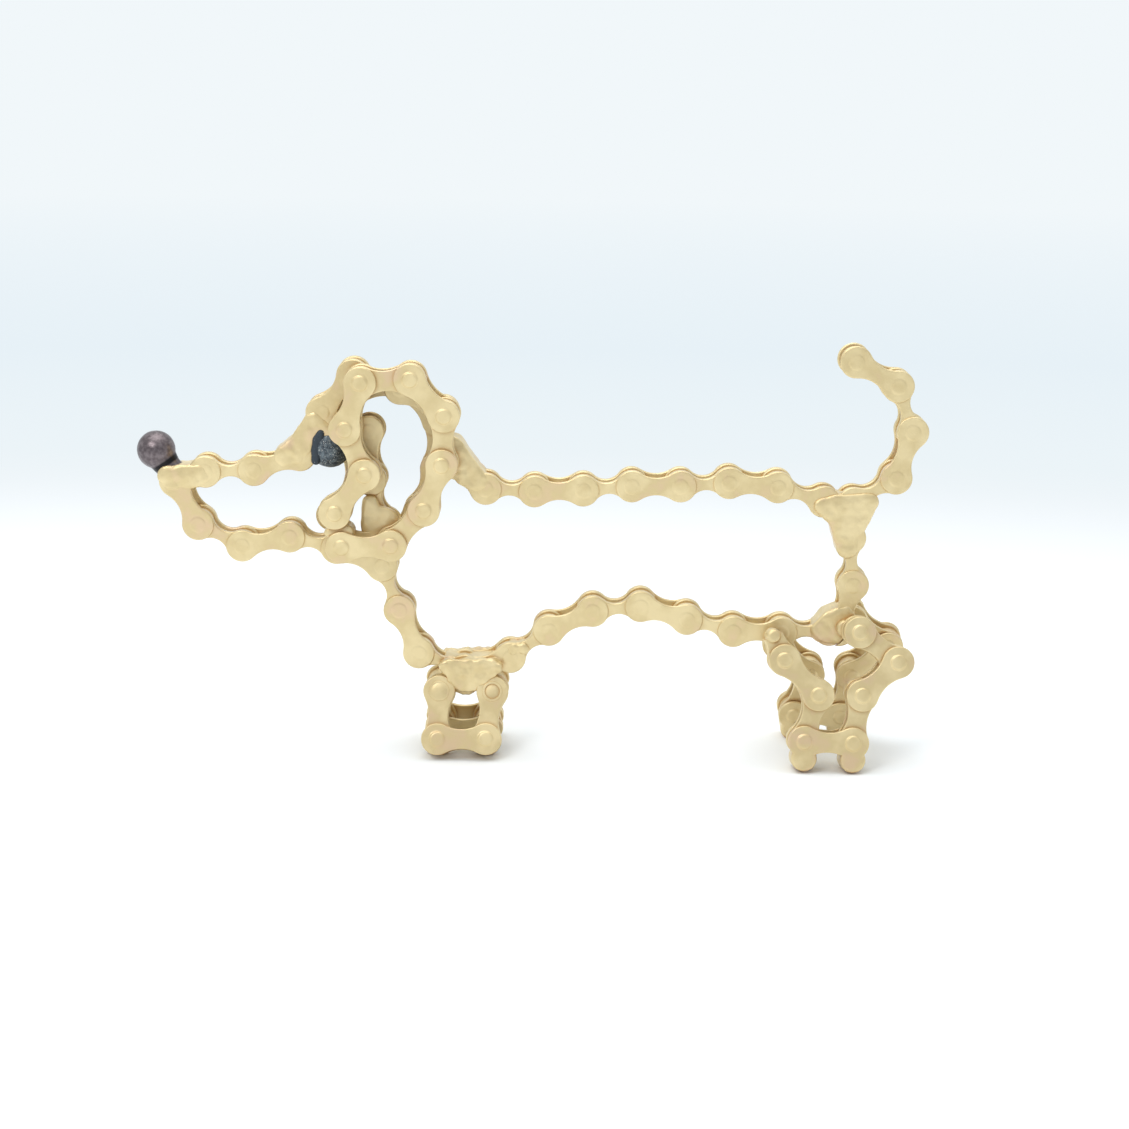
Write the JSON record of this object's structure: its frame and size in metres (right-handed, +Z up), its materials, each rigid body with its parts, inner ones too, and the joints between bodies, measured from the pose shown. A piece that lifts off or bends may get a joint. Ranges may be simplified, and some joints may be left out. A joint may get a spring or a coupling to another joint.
{
  "type": "chain dachshund figurine",
  "caption": "Standing dachshund figurine welded from lengths of roller chain, with link-chain ears whose rollers spin, leaning legs and a steel ball for its nose and its eye.",
  "frame": {"origin": "under the middle of the figure's bounding box, on the surface that the four feet stand on", "axes": "+Z up; -X the way the dog looks, nose first; -Y the dog's left side, which the picture shows"},
  "size_m": [0.2058, 0.039, 0.1101],
  "materials": {
    "gold_paint": "pale gold spray paint, satin",
    "nose_steel": "dark polished steel",
    "eye_steel": "heat-blued steel"
  },
  "bodies": {
    "root": {"back_front_chain": "gold_paint", "back_rear_chain": "gold_paint", "belly_front_chain": "gold_paint", "belly_rear_chain": "gold_paint", "chest_chain": "gold_paint", "chest_weld": "gold_paint", "crown_chain": "gold_paint", "eye_ball": "eye_steel", "inner_head_chain": "gold_paint", "jaw_chain": "gold_paint", "left_ear_inner_link_1": "gold_paint", "left_ear_inner_link_2": "gold_paint", "left_ear_inner_link_3": "gold_paint", "left_ear_inner_link_4": "gold_paint", "left_ear_outer_link_1": "gold_paint", "left_ear_outer_link_2": "gold_paint", "left_ear_outer_link_3": "gold_paint", "left_ear_outer_link_4": "gold_paint", "left_ear_outer_link_5": "gold_paint", "left_front_leg": "gold_paint", "left_hind_leg_front": "gold_paint", "left_hind_leg_rear": "gold_paint", "nose_ball": "nose_steel", "right_ear_inner_link_1": "gold_paint", "right_ear_inner_link_2": "gold_paint", "right_ear_inner_link_3": "gold_paint", "right_ear_inner_link_4": "gold_paint", "right_ear_outer_link_1": "gold_paint", "right_ear_outer_link_2": "gold_paint", "right_ear_outer_link_3": "gold_paint", "right_ear_outer_link_4": "gold_paint", "right_ear_outer_link_5": "gold_paint", "right_front_leg": "gold_paint", "right_hind_leg_front": "gold_paint", "right_hind_leg_rear": "gold_paint", "rump_chain": "gold_paint", "snout_chain": "gold_paint", "tail_chain": "gold_paint", "throat_chain": "gold_paint"},
    "left_ear_roller_1": {"left_ear_roller_1": "gold_paint"},
    "left_ear_roller_2": {"left_ear_roller_2": "gold_paint"},
    "left_ear_roller_3": {"left_ear_roller_3": "gold_paint"},
    "left_ear_roller_4": {"left_ear_roller_4": "gold_paint"},
    "left_ear_roller_5": {"left_ear_roller_5": "gold_paint"},
    "left_ear_roller_6": {"left_ear_roller_6": "gold_paint"},
    "left_ear_roller_7": {"left_ear_roller_7": "gold_paint"},
    "left_ear_roller_8": {"left_ear_roller_8": "gold_paint"},
    "right_ear_roller_1": {"right_ear_roller_1": "gold_paint"},
    "right_ear_roller_2": {"right_ear_roller_2": "gold_paint"},
    "right_ear_roller_3": {"right_ear_roller_3": "gold_paint"},
    "right_ear_roller_4": {"right_ear_roller_4": "gold_paint"},
    "right_ear_roller_5": {"right_ear_roller_5": "gold_paint"},
    "right_ear_roller_6": {"right_ear_roller_6": "gold_paint"},
    "right_ear_roller_7": {"right_ear_roller_7": "gold_paint"},
    "right_ear_roller_8": {"right_ear_roller_8": "gold_paint"}
  },
  "joints": [
    {"name": "left_ear_roller_1_spin", "type": "hinge", "parent": "root", "child": "left_ear_roller_1", "pos_m": [-0.03584, -0.0084, 0.05731], "axis": [0, 1, 0], "continuous": true},
    {"name": "left_ear_roller_2_spin", "type": "hinge", "parent": "root", "child": "left_ear_roller_2", "pos_m": [-0.02734, -0.0084, 0.06674], "axis": [0, 1, 0], "continuous": true},
    {"name": "left_ear_roller_3_spin", "type": "hinge", "parent": "root", "child": "left_ear_roller_3", "pos_m": [-0.02279, -0.0084, 0.0786], "axis": [0, 1, 0], "continuous": true},
    {"name": "left_ear_roller_4_spin", "type": "hinge", "parent": "root", "child": "left_ear_roller_4", "pos_m": [-0.02235, -0.0084, 0.09129], "axis": [0, 1, 0], "continuous": true},
    {"name": "left_ear_roller_5_spin", "type": "hinge", "parent": "root", "child": "left_ear_roller_5", "pos_m": [-0.03101, -0.0084, 0.10058], "axis": [0, 1, 0], "continuous": true},
    {"name": "left_ear_roller_6_spin", "type": "hinge", "parent": "root", "child": "left_ear_roller_6", "pos_m": [-0.04366, -0.0084, 0.09947], "axis": [0, 1, 0], "continuous": true},
    {"name": "left_ear_roller_7_spin", "type": "hinge", "parent": "root", "child": "left_ear_roller_7", "pos_m": [-0.04758, -0.0084, 0.0874], "axis": [0, 1, 0], "continuous": true},
    {"name": "left_ear_roller_8_spin", "type": "hinge", "parent": "root", "child": "left_ear_roller_8", "pos_m": [-0.04262, -0.0084, 0.07571], "axis": [0, 1, 0], "continuous": true},
    {"name": "right_ear_roller_1_spin", "type": "hinge", "parent": "root", "child": "right_ear_roller_1", "pos_m": [-0.03825, 0.0084, 0.05337], "axis": [0, 1, 0], "continuous": true},
    {"name": "right_ear_roller_2_spin", "type": "hinge", "parent": "root", "child": "right_ear_roller_2", "pos_m": [-0.02975, 0.0084, 0.06281], "axis": [0, 1, 0], "continuous": true},
    {"name": "right_ear_roller_3_spin", "type": "hinge", "parent": "root", "child": "right_ear_roller_3", "pos_m": [-0.0252, 0.0084, 0.07466], "axis": [0, 1, 0], "continuous": true},
    {"name": "right_ear_roller_4_spin", "type": "hinge", "parent": "root", "child": "right_ear_roller_4", "pos_m": [-0.02476, 0.0084, 0.08736], "axis": [0, 1, 0], "continuous": true},
    {"name": "right_ear_roller_5_spin", "type": "hinge", "parent": "root", "child": "right_ear_roller_5", "pos_m": [-0.03342, 0.0084, 0.09664], "axis": [0, 1, 0], "continuous": true},
    {"name": "right_ear_roller_6_spin", "type": "hinge", "parent": "root", "child": "right_ear_roller_6", "pos_m": [-0.04607, 0.0084, 0.09554], "axis": [0, 1, 0], "continuous": true},
    {"name": "right_ear_roller_7_spin", "type": "hinge", "parent": "root", "child": "right_ear_roller_7", "pos_m": [-0.05, 0.0084, 0.08346], "axis": [0, 1, 0], "continuous": true},
    {"name": "right_ear_roller_8_spin", "type": "hinge", "parent": "root", "child": "right_ear_roller_8", "pos_m": [-0.04503, 0.0084, 0.07177], "axis": [0, 1, 0], "continuous": true}
  ]
}
